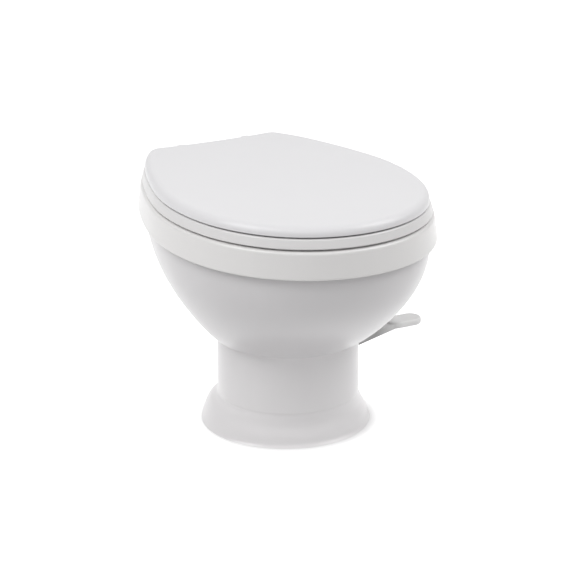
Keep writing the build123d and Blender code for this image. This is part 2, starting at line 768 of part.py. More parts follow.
# Screws that hold the bowl down on the pedestal
bowl_screw_head_radius = 6.0
bowl_screw_head_height = 4.0
bowl_screw_end_gap = 2.0
bowl_screw_bottom = top_plate_bottom - bowl_screw_head_height
bowl_screw_top = shell_flange_top + screw_boss_height - basin_wall - bowl_screw_end_gap

with BuildPart() as bowl_screws:
    add(post(bowl_screw_head_radius, bowl_screw_bottom, top_plate_bottom, screw_places))
    add(post(bowl_screw_radius, top_plate_bottom, bowl_screw_top, screw_places))
save(bowl_screws.part, "bowl_screws")

# Ball housing: outlet tube, round chamber and bearings for the ball and the pedal
outlet_tube_share = 10 / 21
chamber_depth = 36.0
housing_flange_thickness = 4.0
ledge_width = 5.5
ledge_height = 6.0
retainer_thickness = 3.0
seal_thickness = 3.0
ball_bush_radius = 6.0
ball_bush_length = 9.5
ball_bush_flange_radius = 9.0
ball_boss_radius = 11.0
lug_half_height = 8.0
pedal_bush_radius = 5.5
lug_starts = (front_lug_start, back_lug_start)
lug_ends = (front_lug_end, back_lug_end)
chamber_bottom = ball_axis_height - chamber_depth
outlet_tube_height = outlet_tube_share * chamber_bottom
seal_bottom = throat_bottom - seal_thickness
ledge_radius = chamber_radius - ledge_width
ledge_top = seal_bottom - retainer_thickness
ledge_bottom = ledge_top - ledge_height
housing_flange_bottom = throat_bottom - housing_flange_thickness
housing_screw_hole = housing_screw_radius + hinge_hole_clearance

with BuildPart() as ball_housing:
    for side in (-1, 1):
        add(rod(ball_boss_radius, 0, side * ball_boss_end, z=ball_axis_height))
    for lug_start, lug_end in zip(lug_starts, lug_ends):
        with BuildSketch(Plane.XZ.offset(-lug_start)):
            with Locations((pedal_axis_x, pedal_axis_height)):
                Circle(lug_half_height)
            with Locations((pedal_axis_x / 2, pedal_axis_height)):
                Rectangle(pedal_axis_x, 2 * lug_half_height)
        extrude(amount=lug_start - lug_end)
    with BuildSketch(Plane.XZ):
        with BuildLine():
            Polyline(
                (0, 0),
                (outlet_bore_radius + housing_wall, 0),
                (outlet_bore_radius + housing_wall, outlet_tube_height),
                (chamber_outer_radius, chamber_bottom),
                (chamber_outer_radius, housing_flange_bottom),
                (outlet_flange_radius, housing_flange_bottom),
                (outlet_flange_radius, throat_bottom),
                (0, throat_bottom),
                close=True,
            )
        make_face()
    revolve(axis=Axis.Z)
    with BuildSketch(Plane.XZ):
        with BuildLine():
            Polyline(
                (0, 0),
                (outlet_bore_radius, 0),
                (outlet_bore_radius, outlet_tube_height),
                (chamber_radius, chamber_bottom),
                (chamber_radius, ledge_bottom),
                (ledge_radius, ledge_bottom),
                (ledge_radius, ledge_top),
                (chamber_radius, ledge_top),
                (chamber_radius, throat_bottom),
                (0, throat_bottom),
                close=True,
            )
        make_face()
    revolve(axis=Axis.Z, mode=Mode.SUBTRACT)
    bush_hole = ball_bush_radius + static_clearance
    add(rod(bush_hole, -ball_boss_end, ball_boss_end, z=ball_axis_height), mode=Mode.SUBTRACT)
    for lug_start, lug_end in zip(lug_starts, lug_ends):
        lug_hole = pedal_bush_radius + static_clearance
        add(rod(lug_hole, lug_start, lug_end, pedal_axis_x, pedal_axis_height), mode=Mode.SUBTRACT)
    screw_holes = post(housing_screw_hole, housing_flange_bottom, throat_bottom, housing_screw_places)
    add(screw_holes, mode=Mode.SUBTRACT)
save(ball_housing.part, "ball_housing")

housing_screw_head_radius = 3.3
housing_screw_head_height = 3.5
housing_screw_bottom = housing_flange_bottom - housing_screw_head_height
housing_screw_top = throat_bottom + outlet_flange_height

with BuildPart() as housing_screws:
    add(post(housing_screw_head_radius, housing_screw_bottom, housing_flange_bottom, housing_screw_places))
    add(post(housing_screw_radius, housing_flange_bottom, housing_screw_top, housing_screw_places))
save(housing_screws.part, "housing_screws")

# Seal that wipes the ball, its retainer, and the seal on the floor flange
seal_lip_width = 3.5
retainer_gap = 3.0
floor_seal_gap = 1.0
floor_seal_width = 22.0
seal_outer_radius = chamber_radius - seal_clearance
seal_inner_radius = throat_radius - side_clearance
seal_lip_radius = seal_inner_radius + seal_lip_width
retainer_inner_radius = seal_lip_radius + retainer_gap
floor_seal_inner_radius = base_hole_radius + floor_seal_gap
floor_seal_outer_radius = floor_seal_inner_radius + floor_seal_width

with BuildPart() as ball_seal:
    add(post(seal_outer_radius, seal_bottom, throat_bottom))
    add(post(seal_lip_radius, ball_axis_height, throat_bottom))
    add(post(seal_inner_radius, ball_axis_height, throat_bottom), mode=Mode.SUBTRACT)
    with Locations((0, 0, ball_axis_height)):
        Sphere(ball_radius + seal_clearance, mode=Mode.SUBTRACT)
save(ball_seal.part, "ball_seal")

with BuildPart() as seal_retainer:
    add(post(seal_outer_radius, ledge_top, seal_bottom, hole=retainer_inner_radius))
save(seal_retainer.part, "seal_retainer")

with BuildPart() as floor_seal:
    add(post(floor_seal_outer_radius, 0, base_bottom, hole=floor_seal_inner_radius))
save(floor_seal.part, "floor_seal")

# Flush ball: a cap of a hollow sphere on two arms, turned by a shaft and held by a short trunnion
ball_arm_inset = 0.38
ball_arm_thickness = 4.5
ball_arm_half_width = 12.0
ball_hub_radius = 8.0
cap_inner_radius = (ball_radius - ball_wall) * math.sin(math.radians(ball_cap_angle))
ball_arm_end = cap_inner_radius - ball_arm_inset
ball_arm_start = ball_arm_end - ball_arm_thickness
ball_shaft_start = ball_arm_start + side_clearance
trunnion_end = ball_boss_end + side_clearance
shaft_hole = shaft_radius + static_clearance

with BuildPart() as flush_ball:
    for side in (-1, 1):
        with BuildSketch(Plane.XZ.offset(-side * ball_arm_start)):
            with Locations((0, ball_axis_height)):
                Circle(ball_hub_radius)
            with Locations((0, ball_axis_height + ball_radius / 2)):
                Rectangle(2 * ball_arm_half_width, ball_radius)
        extrude(amount=side * (ball_arm_start - ball_arm_end))
    with Locations((0, 0, ball_axis_height)):
        Sphere(ball_radius, mode=Mode.INTERSECT)
    with BuildSketch(Plane.XZ):
        with BuildLine():
            outer_points = []
            inner_points = []
            for turn_share in (0, 0.5, 1):
                turn = math.radians(turn_share * ball_cap_angle)
                for radius, points in ((ball_radius, outer_points), (ball_radius - ball_wall, inner_points)):
                    points.append((radius * math.sin(turn), ball_axis_height + radius * math.cos(turn)))
            ThreePointArc(*outer_points)
            Line(outer_points[-1], inner_points[-1])
            ThreePointArc(*inner_points)
            Line(inner_points[0], outer_points[0])
        make_face()
    revolve(axis=Axis.Z)
    add(rod(shaft_hole, -ball_arm_end, ball_arm_end, z=ball_axis_height), mode=Mode.SUBTRACT)
    for side in (-1, 1):
        pin_y = side * (ball_arm_start + ball_arm_end) / 2
        with BuildSketch(Plane.YZ.offset(-ball_radius)):
            with Locations((pin_y, ball_axis_height)):
                Circle(cross_pin_radius + static_clearance)
        extrude(amount=2 * ball_radius, mode=Mode.SUBTRACT)
save(flush_ball.part, "flush_ball")

# Gears: a full one on the ball shaft and a sector on the pedal shaft, with involute teeth
addendum_share = 0.8
dedendum_share = 1.05
gear_backlash = 0.35
tooth_sink = 0.5
pressure_angle = 20.0
sector_first_tooth = -1
sector_last_tooth = 5
sector_margin_angle = 4.5
gear_addendum = addendum_share * gear_module
gear_dedendum = dedendum_share * gear_module
mesh_angle = math.degrees(math.asin(pedal_rise / gear_distance))
ball_gear_pitch = 360 / ball_gear_teeth
drive_gear_pitch = 360 / drive_gear_full_teeth
drive_root_radius = gear_module * drive_gear_full_teeth / 2 - gear_dedendum
ball_gear_root_radius = gear_module * ball_gear_teeth / 2 - gear_dedendum


def tooth_sketch(centre, tooth_count, direction):
    """Flat sketch of one involute tooth that points in a direction from its gear's centre."""
    pitch_radius = gear_module * tooth_count / 2
    pressure = math.radians(pressure_angle)
    base_radius = pitch_radius * math.cos(pressure)
    root_radius = pitch_radius - gear_dedendum
    tip_radius = pitch_radius + gear_addendum
    flank_start = max(base_radius, root_radius)
    half_tooth = (math.pi * gear_module / 2 - gear_backlash) / (2 * pitch_radius)

    def on_flank(radius, side):
        turn = math.acos(base_radius / max(radius, base_radius))
        half = half_tooth + math.tan(pressure) - pressure - math.tan(turn) + turn
        angle = math.radians(direction) + side * half
        return (centre[0] + radius * math.cos(angle), centre[1] + radius * math.sin(angle))

    with BuildSketch() as tooth:
        with BuildLine():
            flank_radii = (flank_start, (flank_start + tip_radius) / 2, tip_radius)
            for side in (-1, 1):
                ThreePointArc(*(on_flank(radius, side) for radius in flank_radii))
            Line(on_flank(tip_radius, -1), on_flank(tip_radius, 1))
            Polyline(
                on_flank(flank_start, 1),
                on_flank(root_radius - tooth_sink, 1),
                on_flank(root_radius - tooth_sink, -1),
                on_flank(flank_start, -1),
            )
        make_face()
    return tooth.sketch


ball_collar_radius = 7.0
cam_lift = 5.0
cam_steps = 6
cam_dwell_angle = 14.0
drive_collar_radius = 6.5
ball_axis = (0, ball_axis_height)
pedal_axis = (pedal_axis_x, pedal_axis_height)

with BuildPart() as ball_gear:
    with BuildSketch(Plane.XZ.offset(-gear_start)):
        with Locations(ball_axis):
            Circle(ball_gear_root_radius)
        for tooth in range(ball_gear_teeth):
            add(tooth_sketch(ball_axis, ball_gear_teeth, mesh_angle + (tooth + 0.5) * ball_gear_pitch))
    extrude(amount=-gear_thickness)
    add(rod(ball_collar_radius, gear_end, ball_collar_end, z=ball_axis_height))
    add(rod(shaft_hole, gear_start, ball_collar_end, z=ball_axis_height), mode=Mode.SUBTRACT)
    with BuildSketch(Plane.YZ.offset(-ball_collar_radius)):
        with Locations(((gear_end + ball_collar_end) / 2, ball_axis_height)):
            Circle(cross_pin_radius + static_clearance)
    extrude(amount=2 * ball_collar_radius, mode=Mode.SUBTRACT)
save(ball_gear.part, "ball_gear")

with BuildPart() as drive_gear:
    sector_start = 180 + mesh_angle + sector_first_tooth * drive_gear_pitch - sector_margin_angle
    sector_end = 180 + mesh_angle + sector_last_tooth * drive_gear_pitch + sector_margin_angle
    with BuildSketch(Plane.XZ.offset(-gear_start)):
        with BuildLine():
            corners = []
            for angle in (sector_start, (sector_start + sector_end) / 2, sector_end):
                turn = math.radians(angle)
                x = pedal_axis_x + drive_root_radius * math.cos(turn)
                corners.append((x, pedal_axis_height + drive_root_radius * math.sin(turn)))
            Line(pedal_axis, corners[0])
            ThreePointArc(*corners)
            Line(corners[2], pedal_axis)
        make_face()
        with Locations(pedal_axis):
            Circle(drive_collar_radius)
        for tooth in range(sector_first_tooth, sector_last_tooth + 1):
            add(tooth_sketch(pedal_axis, drive_gear_full_teeth, 180 + mesh_angle + tooth * drive_gear_pitch))
    extrude(amount=-gear_thickness)
    add(rod(drive_collar_radius, drive_collar_start, gear_start, pedal_axis_x, pedal_axis_height))
    add(rod(shaft_hole, drive_collar_start, gear_end, pedal_axis_x, pedal_axis_height), mode=Mode.SUBTRACT)
    with BuildSketch(Plane.XY.offset(pedal_axis_height - drive_collar_radius)):
        with Locations((pedal_axis_x, (drive_collar_start + gear_start) / 2)):
            Circle(cross_pin_radius + static_clearance)
    extrude(amount=2 * drive_collar_radius, mode=Mode.SUBTRACT)
save(drive_gear.part, "drive_gear")

# Cam beside the ball gear: its rim rises steadily while the ball opens and lifts the valve stem
with BuildPart() as valve_cam:
    with BuildSketch(Plane.XZ.offset(-cam_start)):
        with BuildLine():
            rim = []
            for step in range(cam_steps + 1):
                turn = math.radians(90 - ball_travel * step / cam_steps)
                radius = cam_base_radius + cam_lift * step / cam_steps
                rim.append((radius * math.cos(turn), ball_axis_height + radius * math.sin(turn)))
            dwell = []
            for share in (0.5, 1):
                turn = math.radians(90 - ball_travel - share * cam_dwell_angle)
                radius = cam_base_radius + cam_lift
                dwell.append((radius * math.cos(turn), ball_axis_height + radius * math.sin(turn)))
            cam_back = (-cam_base_radius, ball_axis_height)
            cam_foot = (0, ball_axis_height - cam_base_radius)
            Spline(*rim)
            ThreePointArc(rim[-1], *dwell)
            Line(dwell[-1], cam_foot)
            ThreePointArc(cam_foot, cam_back, rim[0])
        make_face()
    extrude(amount=cam_start - cam_end)
    add(rod(ball_collar_radius, cam_collar_start, cam_start, z=ball_axis_height))
    add(rod(shaft_hole, cam_collar_start, cam_end, z=ball_axis_height), mode=Mode.SUBTRACT)
    with BuildSketch(Plane.YZ.offset(-ball_collar_radius)):
        with Locations(((cam_collar_start + cam_start) / 2, ball_axis_height)):
            Circle(cross_pin_radius + static_clearance)
    extrude(amount=2 * ball_collar_radius, mode=Mode.SUBTRACT)
save(valve_cam.part, "valve_cam")

# Ball shaft, trunnion, their bushes and cross pins
pin_end_gap = 0.4
ball_pin_places = [
    ((ball_arm_start + ball_arm_end) / 2, ball_arm_half_width),
    ((gear_end + ball_collar_end) / 2, ball_collar_radius),
    ((cam_collar_start + cam_start) / 2, ball_collar_radius),
]

with BuildPart() as ball_shaft:
    add(rod(shaft_radius, ball_shaft_start, ball_shaft_end, z=ball_axis_height))
    chamfer(ball_shaft.edges().group_by(Axis.Y)[-1], length=pin_end_gap)
    with BuildSketch(Plane.YZ.offset(-shaft_radius)):
        for pin_y, reach in ball_pin_places:
            with Locations((pin_y, ball_axis_height)):
                Circle(cross_pin_radius + static_clearance)
    extrude(amount=2 * shaft_radius, mode=Mode.SUBTRACT)
save(ball_shaft.part, "ball_shaft")

with BuildPart() as ball_trunnion:
    add(rod(shaft_radius, -trunnion_end, -ball_shaft_start, z=ball_axis_height))
    with BuildSketch(Plane.YZ.offset(-shaft_radius)):
        with Locations((-ball_pin_places[0][0], ball_axis_height)):
            Circle(cross_pin_radius + static_clearance)
    extrude(amount=2 * shaft_radius, mode=Mode.SUBTRACT)
save(ball_trunnion.part, "ball_trunnion")

with BuildPart() as ball_shaft_pins:
    for pin_y, reach in [*ball_pin_places, (-ball_pin_places[0][0], ball_arm_half_width)]:
        with BuildSketch(Plane.YZ.offset(pin_end_gap - reach)):
            with Locations((pin_y, ball_axis_height)):
                Circle(cross_pin_radius)
        extrude(amount=2 * (reach - pin_end_gap))
save(ball_shaft_pins.part, "ball_shaft_pins")

with BuildPart() as ball_shaft_bushes:
    shaft_bore = shaft_radius + running_clearance
    for side in (-1, 1):
        bush_start = side * (ball_boss_end - ball_bush_length)
        bush_end = side * (ball_boss_end + bush_flange_thickness)
        add(rod(ball_bush_radius, bush_start, bush_end, z=ball_axis_height))
        add(rod(ball_bush_flange_radius, side * ball_boss_end, bush_end, z=ball_axis_height))
    bush_reach = ball_boss_end + bush_flange_thickness
    add(rod(shaft_bore, -bush_reach, bush_reach, z=ball_axis_height), mode=Mode.SUBTRACT)
save(ball_shaft_bushes.part, "ball_shaft_bushes")

# Pedal shaft with its bushes and cross pins
pedal_shaft_front_length = 2.0
pedal_shaft_back_length = 1.7
pedal_bush_flange_radius = 7.5
pedal_bush_flange_thickness = 1.0
pedal_shaft_start = front_lug_start - pedal_shaft_front_length
pedal_shaft_end = gear_end + pedal_shaft_back_length
pedal_pin_places = [
    ((pedal_hub_start + pedal_hub_end) / 2, pedal_hub_radius),
    ((drive_collar_start + gear_start) / 2, drive_collar_radius),
]

with BuildPart() as pedal_shaft:
    add(rod(shaft_radius, pedal_shaft_start, pedal_shaft_end, pedal_axis_x, pedal_axis_height))
    with BuildSketch(Plane.XY.offset(pedal_axis_height - shaft_radius)):
        for pin_y, reach in pedal_pin_places:
            with Locations((pedal_axis_x, pin_y)):
                Circle(cross_pin_radius + static_clearance)
    extrude(amount=2 * shaft_radius, mode=Mode.SUBTRACT)
save(pedal_shaft.part, "pedal_shaft")

with BuildPart() as pedal_shaft_pins:
    for pin_y, reach in pedal_pin_places:
        pin_bottom = pedal_axis_height - reach + pin_end_gap
        pin_top = pedal_axis_height + reach - pin_end_gap
        add(post(cross_pin_radius, pin_bottom, pin_top, [(pedal_axis_x, pin_y)]))
save(pedal_shaft_pins.part, "pedal_shaft_pins")

with BuildPart() as pedal_shaft_bushes:
    bush_places = ((front_lug_start, front_lug_end, -1), (back_lug_end, back_lug_start, 1))
    for flange_place, inner_place, outward in bush_places:
        flange_end = flange_place + outward * pedal_bush_flange_thickness
        add(rod(pedal_bush_radius, inner_place, flange_end, pedal_axis_x, pedal_axis_height))
        add(rod(pedal_bush_flange_radius, flange_place, flange_end, pedal_axis_x, pedal_axis_height))
    add(
        rod(shaft_bore, pedal_shaft_start, pedal_shaft_end, pedal_axis_x, pedal_axis_height),
        mode=Mode.SUBTRACT,
    )
save(pedal_shaft_bushes.part, "pedal_shaft_bushes")

# Foot pedal: a hub, an arm that rises through the slot, and a flat pad with a round end
arm_root_reach = 9.3
arm_root_rise = 0.8
arm_bend_reach = 77.3
arm_thickness = 8.0
pad_rise = 16.5
pad_thickness = 10.0
pad_reach = 126.3
pad_length = 57.0
pad_width = 32.0
pad_edge_radius = 4.0
pad_foot_radius = 3.0
pad_bottom = pedal_axis_height + pad_rise
pad_centre_x = pedestal_radius + pad_reach - pad_length / 2
arm_root = (pedestal_radius + arm_root_reach, pedal_axis_height + arm_root_rise)
arm_bend = (pedestal_radius + arm_bend_reach, pad_bottom)

with BuildPart() as pad:
    with BuildSketch(Plane.XY.offset(pad_bottom)):
        with Locations((pad_centre_x, arm_middle)):
            SlotOverall(pad_length, pad_width)
    extrude(amount=pad_thickness)
    fillet(pad.faces().sort_by(Axis.Z)[-1].edges(), radius=pad_edge_radius)
    fillet(pad.faces().sort_by(Axis.Z)[0].edges(), radius=pad_foot_radius)

with BuildPart() as pedal:
    add(rod(pedal_hub_radius, pedal_hub_start, pedal_hub_end, pedal_axis_x, pedal_axis_height))
    with BuildSketch(Plane.XZ.offset(arm_width / 2 - arm_middle)):
        with BuildLine():
            Polyline(
                (pedal_axis_x, pedal_axis_height - arm_thickness / 2),
                arm_root,
                arm_bend,
                (pad_centre_x, pad_bottom),
                (pad_centre_x, pad_bottom + arm_thickness),
                (arm_bend[0], arm_bend[1] + arm_thickness),
                (arm_root[0], arm_root[1] + arm_thickness),
                (pedal_axis_x, pedal_axis_height + arm_thickness),
                close=True,
            )
        make_face()
    extrude(amount=-arm_width)
    add(pad.part)
    add(rod(shaft_hole, pedal_hub_start, pedal_hub_end, pedal_axis_x, pedal_axis_height), mode=Mode.SUBTRACT)
    pin_y = pedal_pin_places[0][0]
    with BuildSketch(Plane.XY.offset(pedal_axis_height - pedal_hub_radius)):
        with Locations((pedal_axis_x, pin_y)):
            Circle(cross_pin_radius + static_clearance)
    extrude(amount=2 * pedal_hub_radius, mode=Mode.SUBTRACT)
save(pedal.part, "pedal")

# Return spring round the pedal shaft, with one leg on a bearing lug and one on the pedal hub
spring_radius = 6.5
spring_wire_radius = 0.9
spring_gap = 1.5
spring_turns = 5
spring_pitch = 2.5

with BuildPart() as return_spring:
    spring_origin = (pedal_axis_x, pedal_hub_end + spring_gap, pedal_axis_height)
    spring_plane = Plane(origin=spring_origin, x_dir=(1, 0, 0), z_dir=(0, 1, 0))
    spring_coil = Helix(spring_pitch, spring_pitch * spring_turns, spring_radius, mode=Mode.PRIVATE)
    spring_path = spring_plane.location * spring_coil
    with BuildSketch(Plane(origin=spring_path @ 0, z_dir=spring_path % 0)):
        Circle(spring_wire_radius)
    sweep(path=spring_path, is_frenet=True)
save(return_spring.part, "return_spring")

# Water valve under the top plate: body, flange, hose barb above and inlet boss behind
valve_body_radius = 13.0
valve_flange_half_width = 24.0
valve_flange_depth = 28.0
valve_flange_thickness = 4.0
valve_flange_corner = 4.0
stem_radius = 3.0
stem_bore_length = 19.0
barb_radius = 6.0
barb_bore_radius = 4.0
barb_length = 18.0
inlet_boss_radius = 9.0
inlet_bore_radius = 5.0
valve_screw_head_radius = 3.5
valve_screw_head_height = 2.5
stem_bore_top = valve_body_bottom + stem_bore_length
barb_top = pedestal_height + barb_length
inlet_boss_end = pedestal_radius - pedestal_wall - side_clearance
valve_flange_bottom = top_plate_bottom - valve_flange_thickness
valve_screw_bottom = valve_flange_bottom - valve_screw_head_height
stem_bore = stem_radius + running_clearance

with BuildPart() as water_valve:
    add(post(valve_body_radius, valve_body_bottom, top_plate_bottom, hose_line))
    with BuildSketch(Plane.XY.offset(valve_flange_bottom)):
        with Locations((0, hose_line_y)):
            RectangleRounded(2 * valve_flange_half_width, valve_flange_depth, valve_flange_corner)
    extrude(amount=valve_flange_thickness)
    add(post(barb_radius, top_plate_bottom, barb_top, hose_line))
    add(rod(inlet_boss_radius, hose_line_y, inlet_boss_end, z=inlet_height))
    add(post(stem_bore, valve_body_bottom, stem_bore_top, hose_line), mode=Mode.SUBTRACT)
    add(post(barb_bore_radius, stem_bore_top, barb_top, hose_line), mode=Mode.SUBTRACT)
    add(rod(inlet_bore_radius, hose_line_y + stem_bore, inlet_boss_end, z=inlet_height), mode=Mode.SUBTRACT)
    add(post(valve_screw_hole, valve_flange_bottom, top_plate_bottom, valve_screw_places), mode=Mode.SUBTRACT)
save(water_valve.part, "water_valve")

with BuildPart() as valve_screws:
    add(post(valve_screw_head_radius, valve_screw_bottom, valve_flange_bottom, valve_screw_places))
    add(post(valve_screw_radius, valve_flange_bottom, pedestal_height - pin_end_gap, valve_screw_places))
save(valve_screws.part, "valve_screws")

# Valve stem that follows the cam, with its collar and spring
stem_room = 7.0
stem_collar_radius = 6.0
stem_spring_radius = 4.6
stem_spring_wire_radius = 0.6
stem_spring_turns = 4
stem_spring_gap = 0.35
stem_top = stem_bore_top - stem_room
stem_collar_top = stem_collar_bottom + stem_collar_height
stem_spring_bottom = stem_collar_top + stem_spring_gap + stem_spring_wire_radius
stem_coil_height = stem_spring_length - 2 * (stem_spring_gap + stem_spring_wire_radius)

with BuildPart() as valve_stem:
    with BuildSketch(Plane.XZ):
        with BuildLine():
            tip_side = (stem_tip_radius, stem_tip + stem_tip_radius)
            TangentArc((0, stem_tip), tip_side, tangent=(1, 0))
            Polyline(
                tip_side,
                (stem_collar_radius, stem_collar_bottom),
                (stem_collar_radius, stem_collar_top),
                (stem_radius, stem_collar_top),
                (stem_radius, stem_top),
                (0, stem_top),
                (0, stem_tip),
            )
        make_face()
    revolve(axis=Axis.Z)
with BuildPart() as valve_stem_placed:
    with Locations((0, hose_line_y, 0)):
        add(valve_stem.part)
save(valve_stem_placed.part, "valve_stem")

with BuildPart() as stem_spring:
    stem_coil_pitch = stem_coil_height / stem_spring_turns
    stem_coil = Helix(stem_coil_pitch, stem_coil_height, stem_spring_radius, mode=Mode.PRIVATE)
    stem_path = Plane.XY.offset(stem_spring_bottom).location * stem_coil
    stem_path = Location((0, hose_line_y, 0)) * stem_path
    with BuildSketch(Plane(origin=stem_path @ 0, z_dir=stem_path % 0)):
        Circle(stem_spring_wire_radius)
    sweep(path=stem_path, is_frenet=True)
save(stem_spring.part, "stem_spring")

# Inlet nipple through the back wall, with a six-sided shoulder and a screen inside
nipple_length = 22.3
nipple_bore_radius = 6.0
nipple_flange_gap = 0.7
nipple_flange_thickness = 5.0
nipple_flange_radius = 15.0
screen_depth = 5.0
screen_thickness = 1.0
inlet_nipple_end = pedestal_radius + nipple_length
nipple_flange_start = pedestal_radius + nipple_flange_gap
screen_place = inlet_nipple_end - screen_depth

with BuildPart() as inlet_nipple:
    add(rod(inlet_thread_radius, inlet_boss_end, inlet_nipple_end, z=inlet_height))
    with BuildSketch(Plane.XZ.offset(-nipple_flange_start)):
        with Locations((0, inlet_height)):
            RegularPolygon(nipple_flange_radius, hexagon_sides)
    extrude(amount=-nipple_flange_thickness)
    add(rod(nipple_bore_radius, inlet_boss_end, inlet_nipple_end, z=inlet_height), mode=Mode.SUBTRACT)
save(inlet_nipple.part, "inlet_nipple")

with BuildPart() as inlet_screen:
    screen_end = screen_place + screen_thickness
    add(rod(nipple_bore_radius - static_clearance, screen_place, screen_end, z=inlet_height))
save(inlet_screen.part, "inlet_screen")

# Hose from the valve to the vacuum breaker, and its two clamps
hose_radius = 8.5
hose_bore_gap = 0.05
hose_lap = 9.0
hose_bend_shares = (0.309, 0.679)
hose_bend_radius_share = 0.296
breaker_reach = 26.0
breaker_half_height = 16.0
breaker_neck_length = 30.0
breaker_barb_length = 14.0
breaker_hose_lap = 10.0
clamp_thickness = 1.7
clamp_width = 6.0
clamp_gap = 3.0
breaker_y = nozzle_boss_end + breaker_reach
breaker_top = nozzle_height + breaker_half_height
breaker_body_bottom = nozzle_height - breaker_half_height
breaker_bottom = breaker_body_bottom - breaker_neck_length
breaker_barb_bottom = breaker_bottom - breaker_barb_length
hose_start = barb_top - hose_lap
hose_end = breaker_barb_bottom + breaker_hose_lap
hose_height = hose_end - hose_start
hose_bore_radius = barb_radius + hose_bore_gap
clamp_radius = hose_radius + clamp_thickness
clamp_bore_radius = hose_radius + static_clearance
breaker_line = [(0, breaker_y)]

with BuildPart() as water_hose:
    with BuildLine(Plane.YZ) as hose_path:
        FilletPolyline(
            (hose_line_y, hose_start),
            (hose_line_y, hose_start + hose_bend_shares[0] * hose_height),
            (breaker_y, hose_start + hose_bend_shares[1] * hose_height),
            (breaker_y, hose_end),
            radius=hose_bend_radius_share * hose_height,
        )
    with BuildSketch(Plane.XY.offset(hose_start)):
        with Locations((0, hose_line_y)):
            Circle(hose_radius)
            Circle(hose_bore_radius, mode=Mode.SUBTRACT)
    sweep()
save(water_hose.part, "water_hose")

with BuildPart() as hose_clamps:
    lower_clamp = hose_start + clamp_gap
    upper_clamp = hose_end - clamp_gap - clamp_width
    add(post(clamp_radius, lower_clamp, lower_clamp + clamp_width, hose_line, hole=clamp_bore_radius))
    add(post(clamp_radius, upper_clamp, upper_clamp + clamp_width, breaker_line, hole=clamp_bore_radius))
save(hose_clamps.part, "hose_clamps")

# Vacuum breaker behind the bowl: a neck, a chamber with a side outlet, a vented cap and a float
breaker_neck_radius = 11.0
breaker_radius = 19.0
breaker_bore_radius = 16.0
breaker_floor = 6.0
breaker_boss_radius = 10.0
breaker_boss_gap = 0.3
breaker_socket_depth = 4.4
nozzle_nut_thickness = 3.7
cap_wall = 1.5
cap_height = 6.0
cap_skirt = 5.0
vent_radius = 2.0
vent_circle = 10.0
vent_count = 6
float_radius = 14.0
float_height = 6.0
float_gap = 0.3
breaker_chamber_bottom = breaker_body_bottom + breaker_floor
breaker_boss_start = nozzle_boss_end + nozzle_nut_thickness + breaker_boss_gap
breaker_boss_bore_end = breaker_boss_start + breaker_socket_depth
cap_radius = breaker_radius + cap_wall
cap_top = breaker_top + cap_height
cap_bore_radius = breaker_radius + static_clearance

with BuildPart() as vacuum_breaker:
    add(post(barb_radius, breaker_barb_bottom, breaker_bottom, breaker_line))
    add(post(breaker_neck_radius, breaker_bottom, breaker_body_bottom, breaker_line))
    add(post(breaker_radius, breaker_body_bottom, breaker_top, breaker_line))
    add(rod(breaker_boss_radius, breaker_boss_start, breaker_y, z=nozzle_height))
    add(post(breaker_bore_radius, breaker_chamber_bottom, breaker_top, breaker_line), mode=Mode.SUBTRACT)
    add(post(barb_bore_radius, breaker_barb_bottom, breaker_top, breaker_line), mode=Mode.SUBTRACT)
    tube_hole = nozzle_tube_radius + static_clearance
    add(rod(tube_hole, breaker_boss_start, breaker_boss_bore_end, z=nozzle_height), mode=Mode.SUBTRACT)
    add(rod(barb_bore_radius, breaker_boss_start, breaker_y, z=nozzle_height), mode=Mode.SUBTRACT)
save(vacuum_breaker.part, "vacuum_breaker")

with BuildPart() as breaker_cap:
    add(post(cap_radius, breaker_top - cap_skirt, cap_top, breaker_line))
    add(post(cap_bore_radius, breaker_top - cap_skirt, breaker_top, breaker_line), mode=Mode.SUBTRACT)
    with BuildSketch(Plane.XY.offset(breaker_top)):
        with Locations((0, breaker_y)):
            with PolarLocations(vent_circle, vent_count):
                Circle(vent_radius)
    extrude(amount=cap_top - breaker_top, mode=Mode.SUBTRACT)
save(breaker_cap.part, "breaker_cap")

with BuildPart() as breaker_float:
    float_bottom = breaker_chamber_bottom + float_gap
    add(post(float_radius, float_bottom, float_bottom + float_height, breaker_line))
save(breaker_float.part, "breaker_float")

# Rinse nozzle through the bowl wall, with its nut behind
nozzle_head_radius = 13.0
nozzle_head_length = 4.8
nozzle_head_gap = 0.2
nozzle_bore_radius = 4.5
nozzle_head_floor = 2.0
nozzle_slot_width = 7.0
nozzle_nut_radius = 12.5
nozzle_head_end = nozzle_boss_start - nozzle_head_gap
nozzle_head_start = nozzle_head_end - nozzle_head_length

with BuildPart() as rinse_nozzle:
    add(rod(nozzle_head_radius, nozzle_head_start, nozzle_head_end, z=nozzle_height))
    fillet(rinse_nozzle.faces().sort_by(Axis.Y)[0].edges(), radius=nozzle_head_floor / 2)
    add(rod(nozzle_tube_radius, nozzle_head_end, breaker_boss_bore_end - pin_end_gap, z=nozzle_height))
    nozzle_floor = nozzle_head_start + nozzle_head_floor
    add(rod(nozzle_bore_radius, nozzle_floor, breaker_boss_bore_end, z=nozzle_height), mode=Mode.SUBTRACT)
    with BuildSketch(Plane.XZ.offset(-nozzle_floor)):
        with Locations((0, nozzle_height - nozzle_head_radius / 2)):
            Rectangle(nozzle_slot_width, nozzle_head_radius)
    extrude(amount=nozzle_floor - nozzle_head_end, mode=Mode.SUBTRACT)
save(rinse_nozzle.part, "rinse_nozzle")

with BuildPart() as nozzle_nut:
    with BuildSketch(Plane.XZ.offset(-nozzle_boss_end)):
        with Locations((0, nozzle_height)):
            RegularPolygon(nozzle_nut_radius, hexagon_sides)
            Circle(nozzle_tube_radius + static_clearance, mode=Mode.SUBTRACT)
    extrude(amount=-nozzle_nut_thickness)
save(nozzle_nut.part, "nozzle_nut")
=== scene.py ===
import json
import math

